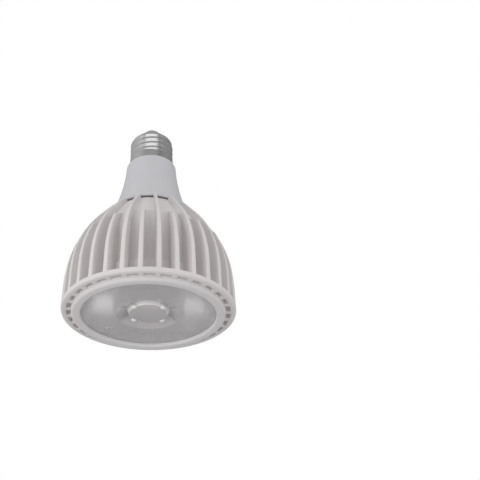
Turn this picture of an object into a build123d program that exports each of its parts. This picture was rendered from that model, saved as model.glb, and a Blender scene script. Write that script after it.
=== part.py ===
from build123d import *

import math
import os

# LED reflector lamp with an Edison screw cap. A die-cast finned heat sink holds a clear collimating lens in
# front and carries, behind it, a plastic neck with the driver inside and the screw cap on top.
# Millimetres. The lamp stands on its lens ring, whose face is z = 0. Its axis is Z, with the cap up.

# Rim, mouth, cup and bell of the heat sink
RIM_R = 47.5
RIM_W = 3.0
RIM_H = 2.5
RIM_ROUNDING = 0.9
SLOT_W = 2.5
MOUTH_WALL = 2.4
MOUTH_H = 4.5
MOUTH_BACK_T = 1.5
CUP_STEP = 2.8
CUP_WALL = 2.4
CUP_H = 7.5
BELL_STEP = 1.7
BELL_WALL = 2.5
BELL_DRAFT = 1.5
BELL_LEAN = 35.0
BELL_SHOULDER_R = 32.0
BELL_TOP_R = 21.6
COLLAR_W = 4.6
COLLAR_H = 5.0
SEAT_Z = 27.5
SEAT_T = 5.0

# Fins: long and short ones by turns, on one outline
FIN_COUNT = 32
FIN_FOOT_T = 2.6
FIN_HEAD_T = 1.5
FIN_SET_BACK = 0.15
FIN_ROOT = 1.0
FIN_SIDE_DRAFT = 1.2
FIN_SHOULDER_LEAN = 39.2
FIN_SHOULDER_R = 65.0
FIN_HEAD_STEP = 2.2
SHORT_FIN_DROP = 10.3
SHORT_FIN_LEAN = 57.5

# Lens ring and lens
RING_PROUD = 2.0
RING_INSET = 0.2
RING_FIT = 0.1
RING_ROUNDING = 1.5
RING_SKIRT_H = 2.8
RING_SKIRT_WALL = 0.9
LIP_T = 1.8
LIP_OVERLAP = 1.4
BEAD_H = 0.3
BEAD_Z = 3.9
BEAD_W = 0.6
LENS_FIT = 0.2
LENS_EDGE_T = 2.0
LENS_FLANGE_W = 1.8
LENS_FLANK_BOW = 0.7
LENS_BACK_R = 20.0
WELL_MOUTH_R = 10.6
WELL_FLOOR_R = 9.8
WELL_DEPTH = 2.5
WELL_DOME_H = 0.8
POCKET_MOUTH_R = 10.4
POCKET_FLOOR_R = 9.2
POCKET_DEPTH = 10.0
POCKET_DOME_H = 2.5

# Light source and its holder
PAD_T = 0.5
COB_SIDE = 18.0
COB_T = 1.5
COB_FIT = 0.2
PHOSPHOR_R = 7.3
PHOSPHOR_T = 0.6
HOLDER_H = 3.8
HOLDER_END_GAP = 1.3
HOLDER_SIDE_GAP = 0.6
HOLDER_WINDOW_FLARE = 0.9
HOLDER_SCREW_INSET = 4.3

# Screws
SCREW_R = 1.25
SCREW_FIT = 0.05
SCREW_HEAD_R = 2.4
SCREW_HEAD_H = 1.6
SCREW_HEAD_ROOM = 0.2
HOLDER_SCREW_GRIP = 3.6
HOUSING_SCREW_INSET = 1.1
HOUSING_SCREW_GRIP = 6.0

# Driver housing: flared neck, inner tube and the spigot for the cap
NECK_FOOT_Z = 66.0
NECK_OVERHANG = 0.7
NECK_TOP_R = 15.0
NECK_H = 35.6
NECK_SHOULDER = 1.7
NECK_WALL = 1.8
FLARE_R = 117.0
SKIRT_WALL = 1.6
SKIRT_GAP = 0.8
SLIT_H = 1.1
TUBE_WALL = 1.4
TUBE_FIT = 0.3
TUBE_FLOOR_T = 1.5
BORE_TOP_DROP = 5.0
BORE_TAPER_H = 21.0
SPIGOT_FIT = 0.23
SPIGOT_WALL = 1.4
SPIGOT_H = 14.9
BOSS_R = 2.6
BOSS_H = 8.0
RAIL_T = 1.0
RAIL_DEPTH = 1.8
RAIL_H = 34.0

# Screw cap
SHELL_T = 0.3
BAND_R = 13.2
BAND_H = 6.0
SHELL_H = 21.1
SHELL_TURN_IN = 1.83
SHELL_TURN_H = 2.0
SHELL_TOP_LAND = 0.7
THREAD_PITCH = 3.629
THREAD_SET_BACK = 0.1
THREAD_DEPTH = 0.97
THREAD_HALF_W = 1.5
THREAD_SINK = 0.25
THREAD_START = 4.1
INSULATOR_FIT = 0.12
INSULATOR_STEP = 0.2
INSULATOR_HEAD_STEP = 0.6
INSULATOR_H = 5.2
INSULATOR_FLANGE_T = 2.6
CONTACT_R = 4.8
CONTACT_H = 2.2
CONTACT_EDGE_H = 0.9
STEM_R = 1.55
STEM_FIT = 0.05

# Driver board and the parts on it
BOARD_FACE_Y = -3.5
BOARD_T = 1.6
BOARD_FIT = 0.25
BOARD_TOP_DROP = 7.0
BOARD_STEP_UP = 34.5
PART_GAP = 0.05
CORE_SIZE = 16.0
CORE_DEPTH = 7.0
CORE_LEG = 5.0
CORE_CHAMFER = 0.5
CORE_WINDOW_W = 3.3
CORE_WINDOW_H = 10.0
COIL_WALL = 2.2
COIL_FIT = 0.2
TRANSFORMER_X = -4.0
TRANSFORMER_UP = 17.5
BULK_R = 5.0
BULK_H = 16.0
BULK_X = -6.0
BULK_UP = 27.5
OUTPUT_R = 4.0
OUTPUT_H = 12.0
OUTPUT_X = 8.7
OUTPUT_UP = 9.5
CAN_GROOVE = 0.35
FILM_SIZE = (7.0, 5.0, 8.0)
FILM_X = 6.0
FILM_UP = 27.5
BRIDGE_SIZE = (6.0, 2.5, 5.0)
BRIDGE_X = 6.0
BRIDGE_UP = 38.5
CHOKE_R = 3.5
CHOKE_H = 9.0
CHOKE_WAIST_R = 2.7
CHOKE_FLANGE_T = 1.4
CHOKE_X = -6.2
CHOKE_UP = 45.0
FUSE_R = 1.7
FUSE_H = 8.0
FUSE_X = 6.0
FUSE_UP = 45.5
CHIP_SIZE = (5.0, 1.5, 4.0)
CHIP_UP = 18.5

# Leads
LEAD_R = 0.75
LEAD_HOLE_R = 1.2
LED_LEAD_X = 6.0
LED_LEAD_GAP = 1.4
LED_LEAD_UP = 4.5
LED_LEAD_BEND_R = 1.2
CAP_LEAD_DOWN = 7.0
CAP_LEAD_RISE = 2.0
CAP_LEAD_BEND_R = 4.0
LIVE_X = 2.0
NEUTRAL_X = -1.0
NEUTRAL_OUT_X = -8.5
NEUTRAL_BEND_R = 1.5
NEUTRAL_GAP = 0.1

# Levels and radii that several pieces share
MOUTH_R = RIM_R - RIM_W - SLOT_W
MOUTH_BORE_R = MOUTH_R - MOUTH_WALL
MOUTH_Z = RING_PROUD
MOUTH_TOP_Z = MOUTH_Z + MOUTH_H
CUP_R = MOUTH_R - CUP_STEP
LEDGE_Z = MOUTH_TOP_Z + CUP_H
BELL_FOOT_R = CUP_R - BELL_STEP
BELL_TOP_Z = NECK_FOOT_Z - SLIT_H
COLLAR_BORE_R = BELL_TOP_R - COLLAR_W
SEAT_TOP_Z = SEAT_Z + SEAT_T
NECK_FOOT_R = BELL_TOP_R + NECK_OVERHANG
LENS_R = MOUTH_BORE_R - RING_FIT - RING_SKIRT_WALL - LENS_FIT
HOLDER_FRONT_Z = SEAT_Z - HOLDER_H
HOLDER_HALF_LENGTH = LENS_BACK_R - HOLDER_END_GAP
HOLDER_SCREW_X = HOLDER_HALF_LENGTH - HOLDER_SCREW_INSET
COB_FACE_Z = SEAT_Z - PAD_T - COB_T
TUBE_R = COLLAR_BORE_R - TUBE_FIT
BORE_R = TUBE_R - TUBE_WALL
FLOOR_Z = SEAT_TOP_Z + TUBE_FLOOR_T
CAP_FOOT_Z = NECK_FOOT_Z + NECK_H
BORE_TOP_R = NECK_TOP_R - NECK_WALL
BORE_TOP_Z = CAP_FOOT_Z - BORE_TOP_DROP
BORE_TAPER_Z = BORE_TOP_Z - BORE_TAPER_H
CAP_TOP_Z = CAP_FOOT_Z + SHELL_H
THREAD_CREST_R = BAND_R - THREAD_SET_BACK
THREAD_ROOT_R = THREAD_CREST_R - THREAD_DEPTH
SHELL_BORE_R = THREAD_ROOT_R - SHELL_T
SHELL_TOP_R = THREAD_ROOT_R - SHELL_TURN_IN
SHELL_HOLE_R = SHELL_TOP_R - SHELL_TOP_LAND
SPIGOT_R = SHELL_BORE_R - SPIGOT_FIT
STEM_FOOT_Z = CAP_TOP_Z - INSULATOR_FLANGE_T - SHELL_T
BOARD_BACK_Y = BOARD_FACE_Y - BOARD_T
BOARD_TOP_Z = CAP_FOOT_Z - BOARD_TOP_DROP
HOUSING_SCREW_Y = BORE_R - HOUSING_SCREW_INSET
HOLDER_HALF_W = HOUSING_SCREW_Y - SCREW_HEAD_R - HOLDER_SIDE_GAP
LED_LEAD_Y = HOLDER_HALF_W + LED_LEAD_GAP

HOLDER_SCREW_PLACES = [(HOLDER_SCREW_X, 0), (-HOLDER_SCREW_X, 0)]
HOUSING_SCREW_PLACES = [(0, HOUSING_SCREW_Y), (0, -HOUSING_SCREW_Y)]
LED_LEAD_PLACES = [(LED_LEAD_X, LED_LEAD_Y), (-LED_LEAD_X, LED_LEAD_Y)]


def section(*lines):
    """Face in the radius and height plane, bounded by the given lines."""
    return Plane.XZ * make_face(Curve(lines).edges())


def turned(*corners):
    """Solid of revolution. A corner is (radius, height) or (radius, height, rounding)."""
    places = [corner[:2] for corner in corners]
    roundings = [corner[2] if len(corner) == 3 else 0 for corner in corners]
    return revolve(section(FilletPolyline(*places, radius=roundings, close=True)), Axis.Z)


def rod(radius, bottom, top, x=0, y=0):
    """Upright cylinder between two heights."""
    align = (Align.CENTER, Align.CENTER, Align.MIN)
    return Pos(x, y, bottom) * Cylinder(radius, top - bottom, align=align)


def block(x_range, y_range, z_range):
    """Box between the given limits."""
    spans = [high - low for low, high in (x_range, y_range, z_range)]
    low_corner = (x_range[0], y_range[0], z_range[0])
    return Pos(*low_corner) * Box(*spans, align=(Align.MIN, Align.MIN, Align.MIN))


def lead(bend_radius, *points):
    """Insulated wire along straight runs joined by arcs."""
    path = FilletPolyline(*points, radius=bend_radius)
    return sweep(Plane(origin=path @ 0, z_dir=path % 0) * Circle(LEAD_R), path=path)


def dome(edge_r, edge_z, top_z):
    """Arc of a shallow dome, from its edge to the axis."""
    rise = top_z - edge_z
    ball_r = (edge_r**2 + rise**2) / (2 * rise)
    mid_z = top_z - ball_r + math.copysign(math.sqrt(ball_r**2 - (edge_r / 2) ** 2), rise)
    return ThreePointArc((edge_r, edge_z), (edge_r / 2, mid_z), (0, top_z))


def bell_side_r(z, inset=0):
    """Radius of the bell's steep lower side at a height, inset square to it."""
    draft = math.radians(BELL_DRAFT)
    return BELL_FOOT_R - (z - LEDGE_Z) * math.tan(draft) - inset / math.cos(draft)


def bell_slope_r(z, inset=0):
    """Radius of the bell's sloping upper part at a height, inset square to it."""
    lean = math.radians(BELL_LEAN)
    return BELL_TOP_R + (BELL_TOP_Z - z) * math.tan(lean) - inset / math.cos(lean)


def bell_shoulder(inset=0):
    """Corner between side and slope of the bell, with a rounding that fits on the wall between seat and collar."""
    draft, lean = math.radians(BELL_DRAFT), math.radians(BELL_LEAN)
    closing = math.tan(lean) - math.tan(draft)
    z, lining_z = [(bell_slope_r(0, depth) - bell_side_r(0, depth)) / closing for depth in (inset, BELL_WALL)]
    side_run = (lining_z - SEAT_TOP_Z) / math.cos(draft)
    slope_run = (BELL_TOP_Z - COLLAR_H - lining_z) / math.cos(lean)
    room = 0.95 * min(side_run, slope_run) / math.tan((lean - draft) / 2)
    return bell_side_r(z, inset), z, min(BELL_SHOULDER_R - BELL_WALL, room) + BELL_WALL - inset


def cup_and_bell():
    """Turned body of the heat sink: mouth, cup, hollow bell, seat for the light source and collar on top."""
    mouth_back_z = MOUTH_TOP_Z - MOUTH_BACK_T
    cup_back_z = LEDGE_Z - CUP_WALL
    cup_bore_r = CUP_R - CUP_WALL
    collar_z = BELL_TOP_Z - COLLAR_H
    groove_r = MOUTH_BORE_R + BEAD_H
    groove_w = BEAD_W + 2 * RING_FIT
    return turned(
        (0, SEAT_Z),
        (bell_side_r(SEAT_Z, BELL_WALL), SEAT_Z),
        (bell_side_r(cup_back_z, BELL_WALL), cup_back_z),
        (cup_bore_r, cup_back_z),
        (cup_bore_r, mouth_back_z),
        (MOUTH_BORE_R, mouth_back_z),
        (MOUTH_BORE_R, BEAD_Z + groove_w / 2),
        (groove_r, BEAD_Z + groove_w / 2),
        (groove_r, BEAD_Z - groove_w / 2),
        (MOUTH_BORE_R, BEAD_Z - groove_w / 2),
        (MOUTH_BORE_R, MOUTH_Z),
        (MOUTH_R, MOUTH_Z),
        (MOUTH_R, MOUTH_TOP_Z),
        (CUP_R, MOUTH_TOP_Z),
        (CUP_R, LEDGE_Z),
        (BELL_FOOT_R, LEDGE_Z),
        bell_shoulder(),
        (BELL_TOP_R, BELL_TOP_Z),
        (COLLAR_BORE_R, BELL_TOP_Z),
        (COLLAR_BORE_R, collar_z),
        (bell_slope_r(collar_z, BELL_WALL), collar_z),
        bell_shoulder(BELL_WALL),
        (bell_side_r(SEAT_TOP_Z, BELL_WALL), SEAT_TOP_Z),
        (0, SEAT_TOP_Z),
    )


def rim():
    """Ring that ties the feet of the fins together in front."""
    return turned(
        (RIM_R - RIM_W, MOUTH_Z),
        (RIM_R, MOUTH_Z, RIM_ROUNDING),
        (RIM_R, MOUTH_Z + RIM_H),
        (RIM_R - RIM_W, MOUTH_Z + RIM_H),
    )


def fin_outline():
    """Side view of a long fin, from the rim up to the neck."""
    side_r = RIM_R - FIN_SET_BACK
    head_r = NECK_FOOT_R + FIN_HEAD_STEP
    draft = math.tan(math.radians(FIN_SIDE_DRAFT))
    lean = math.tan(math.radians(FIN_SHOULDER_LEAN))
    shoulder_z = (head_r + NECK_FOOT_Z * lean - side_r - MOUTH_Z * draft) / (lean - draft)
    root_top_r = bell_slope_r(BELL_TOP_Z, FIN_ROOT)
    bell_root_z = LEDGE_Z - FIN_ROOT
    cup_root_z = MOUTH_TOP_Z - FIN_ROOT
    bell_r, bell_z, bell_rounding = bell_shoulder(FIN_ROOT)
    corners = [
        (MOUTH_R - FIN_ROOT, MOUTH_Z),
        (side_r, MOUTH_Z),
        (side_r - (shoulder_z - MOUTH_Z) * draft, shoulder_z),
        (head_r, NECK_FOOT_Z),
        (root_top_r, NECK_FOOT_Z),
        (root_top_r, BELL_TOP_Z),
        (bell_r, bell_z),
        (bell_side_r(bell_root_z, FIN_ROOT), bell_root_z),
        (CUP_R - FIN_ROOT, bell_root_z),
        (CUP_R - FIN_ROOT, cup_root_z),
        (MOUTH_R - FIN_ROOT, cup_root_z),
    ]
    roundings = [0, 0, FIN_SHOULDER_R, 0, 0, 0, bell_rounding, 0, 0, 0, 0]
    return section(FilletPolyline(*corners, radius=roundings, close=True))


def short_fin_cut():
    """What is missing from a short fin: all above a line that rises towards the bell."""
    fall = 1 / math.tan(math.radians(SHORT_FIN_LEAN))
    axis_z = NECK_FOOT_Z - SHORT_FIN_DROP + BELL_TOP_R * fall
    rim_z = axis_z - RIM_R * fall
    return section(Polyline((0, axis_z), (RIM_R, rim_z), (RIM_R, CAP_FOOT_Z), (0, CAP_FOOT_Z), close=True))


def heat_sink():
    """One casting: cup, bell, rim and fins, drilled for the screws and leads."""
    taper = Polyline(
        (-FIN_FOOT_T / 2, MOUTH_Z),
        (FIN_FOOT_T / 2, MOUTH_Z),
        (FIN_HEAD_T / 2, NECK_FOOT_Z),
        (-FIN_HEAD_T / 2, NECK_FOOT_Z),
        close=True,
    )
    wedge = extrude(Plane.YZ * make_face(taper), amount=RIM_R)
    long_outline = fin_outline()
    short_outline = long_outline - short_fin_cut()
    fins = []
    for index in range(FIN_COUNT):
        outline = short_outline if index % 2 else long_outline
        angle = -90 + (index + 0.5) * 360 / FIN_COUNT
        fins.append(Rot(0, 0, angle) * (extrude(outline, amount=FIN_FOOT_T, both=True) & wedge))
    body = cup_and_bell() + [rim(), *fins]
    for x, y in HOUSING_SCREW_PLACES + HOLDER_SCREW_PLACES:
        body -= rod(SCREW_R + SCREW_FIT, SEAT_Z, SEAT_TOP_Z, x, y)
    for x, y in LED_LEAD_PLACES:
        body -= rod(LEAD_HOLE_R, SEAT_Z, SEAT_TOP_Z, x, y)
    return body


def lens_ring():
    """Front ring: a flat face, a lip over the lens edge and a skirt that snaps into the mouth."""
    ring_r = MOUTH_R - RING_INSET
    skirt_r = MOUTH_BORE_R - RING_FIT
    skirt_bore_r = LENS_R + LENS_FIT
    window_r = LENS_R - LIP_OVERLAP
    bead_r = skirt_r + BEAD_H
    return turned(
        (window_r, 0, RING_ROUNDING / 2),
        (ring_r, 0, RING_ROUNDING),
        (ring_r, RING_PROUD),
        (skirt_r, RING_PROUD),
        (skirt_r, BEAD_Z - BEAD_W / 2),
        (bead_r, BEAD_Z),
        (skirt_r, BEAD_Z + BEAD_W / 2),
        (skirt_r, RING_PROUD + RING_SKIRT_H),
        (skirt_bore_r, RING_PROUD + RING_SKIRT_H),
        (skirt_bore_r, LIP_T),
        (window_r, LIP_T),
    )


def lens():
    """Collimating lens: front well, thin edge, bowed flank and a domed pocket over the light source."""
    edge_z = LIP_T + LENS_EDGE_T
    well_z = LIP_T + WELL_DEPTH
    flank_r = LENS_R - LENS_FLANGE_W
    pocket_z = HOLDER_FRONT_Z - POCKET_DEPTH
    run = flank_r - LENS_BACK_R
    rise = HOLDER_FRONT_Z - edge_z
    slant = math.hypot(run, rise)
    bow_r = (flank_r + LENS_BACK_R) / 2 + LENS_FLANK_BOW * rise / slant
    bow_z = (edge_z + HOLDER_FRONT_Z) / 2 + LENS_FLANK_BOW * run / slant
    outline = section(
        Polyline((WELL_FLOOR_R, well_z), (WELL_MOUTH_R, LIP_T), (LENS_R, LIP_T)),
        Polyline((LENS_R, LIP_T), (LENS_R, edge_z), (flank_r, edge_z)),
        ThreePointArc((flank_r, edge_z), (bow_r, bow_z), (LENS_BACK_R, HOLDER_FRONT_Z)),
        Polyline((LENS_BACK_R, HOLDER_FRONT_Z), (POCKET_MOUTH_R, HOLDER_FRONT_Z), (POCKET_FLOOR_R, pocket_z)),
        dome(POCKET_FLOOR_R, pocket_z, pocket_z + POCKET_DOME_H),
        Line((0, pocket_z + POCKET_DOME_H), (0, well_z - WELL_DOME_H)),
        dome(WELL_FLOOR_R, well_z, well_z - WELL_DOME_H),
    )
    return revolve(outline, Axis.Z)


def thermal_pad():
    """Soft pad between the light source and the heat sink."""
    half = COB_SIDE / 2
    return block((-half, half), (-half, half), (SEAT_Z - PAD_T, SEAT_Z))


def cob_board():
    """Square carrier plate of the light source."""
    half = COB_SIDE / 2
    return block((-half, half), (-half, half), (COB_FACE_Z, SEAT_Z - PAD_T))


def phosphor_layer():
    """Round yellow layer over the chips."""
    edge = PHOSPHOR_T / 2
    front_z = COB_FACE_Z - PHOSPHOR_T
    return turned((0, front_z), (PHOSPHOR_R, front_z, edge), (PHOSPHOR_R, COB_FACE_Z), (0, COB_FACE_Z))


def cob_holder():
    """Plastic bridge that clamps the light source and seats the lens."""
    outline = SlotOverall(2 * HOLDER_HALF_LENGTH, 2 * HOLDER_HALF_W)
    body = Pos(0, 0, HOLDER_FRONT_Z) * extrude(outline, amount=HOLDER_H)
    nest = COB_SIDE / 2 + COB_FIT
    body -= block((-nest, nest), (-nest, nest), (COB_FACE_Z, SEAT_Z))
    window_r = PHOSPHOR_R + COB_FIT
    body -= turned(
        (0, HOLDER_FRONT_Z),
        (window_r + HOLDER_WINDOW_FLARE, HOLDER_FRONT_Z),
        (window_r, COB_FACE_Z),
        (0, COB_FACE_Z),
    )
    head_top_z = HOLDER_FRONT_Z + SCREW_HEAD_ROOM + SCREW_HEAD_H
    for x, y in HOLDER_SCREW_PLACES:
        body -= rod(SCREW_R + SCREW_FIT, HOLDER_FRONT_Z, SEAT_Z, x, y)
        body -= rod(SCREW_HEAD_R + COB_FIT, HOLDER_FRONT_Z, head_top_z, x, y)
    return body


def screw(head_top_z, shank_top_z, x, y):
    """Round-headed screw, driven upwards, with a cross recess in its head."""
    head_z = head_top_z - SCREW_HEAD_H
    body = rod(SCREW_HEAD_R, head_z, head_top_z, x, y) + rod(SCREW_R, head_top_z, shank_top_z, x, y)
    body = fillet(body.edges().group_by(Axis.Z)[0], SCREW_HEAD_H / 2)
    long, short = SCREW_HEAD_R / 2, SCREW_HEAD_R / 8
    for half_x, half_y in ((long, short), (short, long)):
        body -= block((x - half_x, x + half_x), (y - half_y, y + half_y), (head_z, head_z + SCREW_HEAD_H / 2))
    return body


def holder_screws():
    """Two screws that hold the bridge to the seat."""
    head_top_z = HOLDER_FRONT_Z + SCREW_HEAD_ROOM + SCREW_HEAD_H
    shank_top_z = SEAT_Z + HOLDER_SCREW_GRIP
    return Compound(children=[screw(head_top_z, shank_top_z, x, y) for x, y in HOLDER_SCREW_PLACES])


def housing_screws():
    """Two screws that pull the driver housing down on to the seat."""
    shank_top_z = FLOOR_Z + HOUSING_SCREW_GRIP
    return Compound(children=[screw(SEAT_Z, shank_top_z, x, y) for x, y in HOUSING_SCREW_PLACES])


def flare_centre():
    """Centre of the neck's concave flare, in radius and height."""
    top_z = CAP_FOOT_Z - NECK_SHOULDER
    run = NECK_FOOT_R - NECK_TOP_R
    rise = top_z - NECK_FOOT_Z
    chord = math.hypot(run, rise)
    reach = math.sqrt(FLARE_R**2 - (chord / 2) ** 2) / chord
    return (NECK_FOOT_R + NECK_TOP_R) / 2 + reach * rise, (NECK_FOOT_Z + top_z) / 2 + reach * run


def flare_r(z, inset=0):
    """Radius of the flare at a height, inset square to its surface."""
    centre_r, centre_z = flare_centre()
    return centre_r - math.sqrt((FLARE_R + inset) ** 2 - (z - centre_z) ** 2)


def flare_z(r, inset=0):
    """Height at which the inset flare has a radius."""
    centre_r, centre_z = flare_centre()
    return centre_z - math.sqrt((FLARE_R + inset) ** 2 - (centre_r - r) ** 2)


def flare(low_z, high_z, inset=0):
    """Arc of the flare between two heights."""
    levels = (low_z, (low_z + high_z) / 2, high_z)
    return ThreePointArc(*[(flare_r(z, inset), z) for z in levels])


def board_half_w(bore_r):
    """Half width of the driver board where it stands in a bore."""
    return math.sqrt((bore_r - BOARD_FIT) ** 2 - BOARD_BACK_Y**2)


def driver_housing():
    """One moulding: flared neck, spigot for the cap, and an insulating tube down into the bell."""
    neck_top_z = CAP_FOOT_Z - NECK_SHOULDER
    skirt_foot_r = flare_r(NECK_FOOT_Z, SKIRT_WALL)
    skirt_top_r = TUBE_R + SKIRT_GAP
    skirt_top_z = flare_z(skirt_top_r, SKIRT_WALL)
    spigot_bore_r = SPIGOT_R - SPIGOT_WALL
    spigot_top_z = CAP_FOOT_Z + SPIGOT_H
    round_r = NECK_SHOULDER * (1 - math.sqrt(0.5))
    shell = section(
        flare(NECK_FOOT_Z, neck_top_z),
        ThreePointArc(
            (NECK_TOP_R, neck_top_z),
            (NECK_TOP_R - round_r, CAP_FOOT_Z - round_r),
            (NECK_TOP_R - NECK_SHOULDER, CAP_FOOT_Z),
        ),
        Polyline(
            (NECK_TOP_R - NECK_SHOULDER, CAP_FOOT_Z),
            (SPIGOT_R, CAP_FOOT_Z),
            (SPIGOT_R, spigot_top_z),
            (spigot_bore_r, spigot_top_z),
            (spigot_bore_r, BORE_TOP_Z + BORE_TOP_R - spigot_bore_r),
            (BORE_TOP_R, BORE_TOP_Z),
            (BORE_R, BORE_TAPER_Z),
            (BORE_R, FLOOR_Z),
            (0, FLOOR_Z),
            (0, SEAT_TOP_Z),
            (TUBE_R, SEAT_TOP_Z),
            (TUBE_R, skirt_top_z),
            (skirt_top_r, skirt_top_z),
        ),
        flare(NECK_FOOT_Z, skirt_top_z, SKIRT_WALL),
        Line((skirt_foot_r, NECK_FOOT_Z), (NECK_FOOT_R, NECK_FOOT_Z)),
    )
    body = revolve(shell, Axis.Z)
    rail_top_z = SEAT_TOP_Z + RAIL_H
    inside = rod(BORE_R + TUBE_WALL / 2, SEAT_TOP_Z, rail_top_z)
    bosses = [rod(BOSS_R, SEAT_TOP_Z, FLOOR_Z + BOSS_H, x, y) & inside for x, y in HOUSING_SCREW_PLACES]
    rail_x = board_half_w(BORE_R) - RAIL_DEPTH
    face_y = BOARD_FACE_Y + BOARD_FIT
    back_y = BOARD_BACK_Y - BOARD_FIT
    rails = []
    for x_range in ((rail_x, BORE_R + TUBE_WALL), (-BORE_R - TUBE_WALL, -rail_x)):
        for y_range in ((face_y, face_y + RAIL_T), (back_y - RAIL_T, back_y)):
            rails.append(block(x_range, y_range, (SEAT_TOP_Z, rail_top_z)) & inside)
    body = body + bosses + rails
    for x, y in HOUSING_SCREW_PLACES:
        body -= rod(SCREW_R + SCREW_FIT, SEAT_TOP_Z, FLOOR_Z + BOSS_H, x, y)
    for x, y in LED_LEAD_PLACES:
        body -= rod(LEAD_HOLE_R, SEAT_TOP_Z, FLOOR_Z, x, y)
    return body


def screw_shell():
    """Thin metal shell of the cap: a plain band, a rolled round thread and a turned-in top."""
    ridge = section(
        ThreePointArc(
            (THREAD_ROOT_R - THREAD_SINK, -THREAD_HALF_W),
            (THREAD_CREST_R, 0),
            (THREAD_ROOT_R - THREAD_SINK, THREAD_HALF_W),
        ),
        Line((THREAD_ROOT_R - THREAD_SINK, THREAD_HALF_W), (THREAD_ROOT_R - THREAD_SINK, -THREAD_HALF_W)),
    )
    thread_h = SHELL_H - THREAD_START - SHELL_TURN_H
    helix = Helix(THREAD_PITCH, thread_h, THREAD_ROOT_R - THREAD_SINK)
    thread = Pos(0, 0, CAP_FOOT_Z + THREAD_START) * sweep(ridge, path=helix, is_frenet=True)
    blank = rod(THREAD_ROOT_R, CAP_FOOT_Z, CAP_TOP_Z) + rod(BAND_R, CAP_FOOT_Z, CAP_FOOT_Z + BAND_H)
    body = blank + thread
    slope = SHELL_TURN_IN / SHELL_TURN_H
    outside_r = BAND_R + SHELL_T
    outside_z = CAP_TOP_Z - (outside_r - SHELL_TOP_R) / slope
    body -= turned((outside_r, outside_z), (SHELL_TOP_R, CAP_TOP_Z), (outside_r, CAP_TOP_Z))
    inner_top_r = SHELL_TOP_R - SHELL_T
    inner_top_z = CAP_TOP_Z - SHELL_T
    body -= turned(
        (0, CAP_FOOT_Z),
        (SHELL_BORE_R, CAP_FOOT_Z),
        (SHELL_BORE_R, inner_top_z - (SHELL_BORE_R - inner_top_r) / slope),
        (inner_top_r, inner_top_z),
        (SHELL_HOLE_R, inner_top_z),
        (SHELL_HOLE_R, CAP_TOP_Z),
        (0, CAP_TOP_Z),
    )
    return body


def cap_insulator():
    """Insulating cone moulded into the top of the shell, around the contact's stem."""
    slope = SHELL_TURN_IN / SHELL_TURN_H
    flange_r = SHELL_BORE_R - INSULATOR_FIT
    inner_top_r = SHELL_TOP_R - SHELL_T - INSULATOR_FIT
    inner_top_z = CAP_TOP_Z - SHELL_T - INSULATOR_FIT
    stem_hole_r = STEM_R + STEM_FIT
    neck_r = SHELL_HOLE_R - INSULATOR_FIT
    return turned(
        (stem_hole_r, STEM_FOOT_Z),
        (flange_r, STEM_FOOT_Z),
        (flange_r, inner_top_z - (flange_r - inner_top_r) / slope),
        (inner_top_r, inner_top_z),
        (neck_r, inner_top_z),
        (neck_r, CAP_TOP_Z),
        (SHELL_TOP_R - INSULATOR_STEP, CAP_TOP_Z),
        (CONTACT_R + INSULATOR_HEAD_STEP, CAP_TOP_Z + INSULATOR_H),
        (stem_hole_r, CAP_TOP_Z + INSULATOR_H),
    )


def centre_contact():
    """Domed contact button on a short stem."""
    foot_z = CAP_TOP_Z + INSULATOR_H
    edge_z = foot_z + CONTACT_EDGE_H
    outline = section(
        Polyline((0, foot_z + CONTACT_H), (0, STEM_FOOT_Z), (STEM_R, STEM_FOOT_Z), (STEM_R, foot_z)),
        Polyline((STEM_R, foot_z), (CONTACT_R, foot_z), (CONTACT_R, edge_z)),
        dome(CONTACT_R, edge_z, foot_z + CONTACT_H),
    )
    return revolve(outline, Axis.Z)


def driver_board():
    """Upright circuit board, narrower where the neck's bore tapers."""
    low_w = board_half_w(BORE_R)
    taper = (BORE_R - BORE_TOP_R) / (BORE_TOP_Z - BORE_TAPER_Z)
    high_w = board_half_w(BORE_R - (BOARD_TOP_Z - BORE_TAPER_Z) * taper)
    step_z = FLOOR_Z + BOARD_STEP_UP
    half = [(low_w, FLOOR_Z), (low_w, step_z), (high_w, step_z + low_w - high_w), (high_w, BOARD_TOP_Z)]
    corners = half + [(-x, z) for x, z in reversed(half)]
    face = Plane.XZ.offset(-BOARD_FACE_Y) * make_face(Polyline(*corners, close=True))
    return extrude(face, amount=BOARD_T)


def transformer_core():
    """Pair of ferrite E halves: a frame with a middle leg."""
    frame = Box(CORE_SIZE, CORE_DEPTH, CORE_SIZE)
    frame = chamfer(frame.edges().filter_by(Axis.Y), CORE_CHAMFER)
    window_x = (CORE_LEG + CORE_WINDOW_W) / 2
    for side in (-1, 1):
        frame -= Pos(side * window_x, 0, 0) * Box(CORE_WINDOW_W, CORE_DEPTH, CORE_WINDOW_H)
    return Pos(TRANSFORMER_X, coil_y(), FLOOR_Z + TRANSFORMER_UP) * frame


def coil_y():
    """Distance of the transformer's middle from the lamp's axis, with its coil on the board."""
    return BOARD_FACE_Y + CORE_DEPTH / 2 + COIL_FIT + COIL_WALL


def transformer_coil():
    """Taped winding round the middle leg."""
    inner_x = CORE_LEG + 2 * COIL_FIT
    inner_y = CORE_DEPTH + 2 * COIL_FIT
    wall_x = CORE_WINDOW_W - 2 * COIL_FIT
    height = CORE_WINDOW_H - 2 * COIL_FIT
    outside = RectangleRounded(inner_x + 2 * wall_x, inner_y + 2 * COIL_WALL, wall_x / 2)
    winding = extrude(outside - Rectangle(inner_x, inner_y), amount=height)
    return Pos(TRANSFORMER_X, coil_y(), FLOOR_Z + TRANSFORMER_UP - height / 2) * winding


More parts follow.
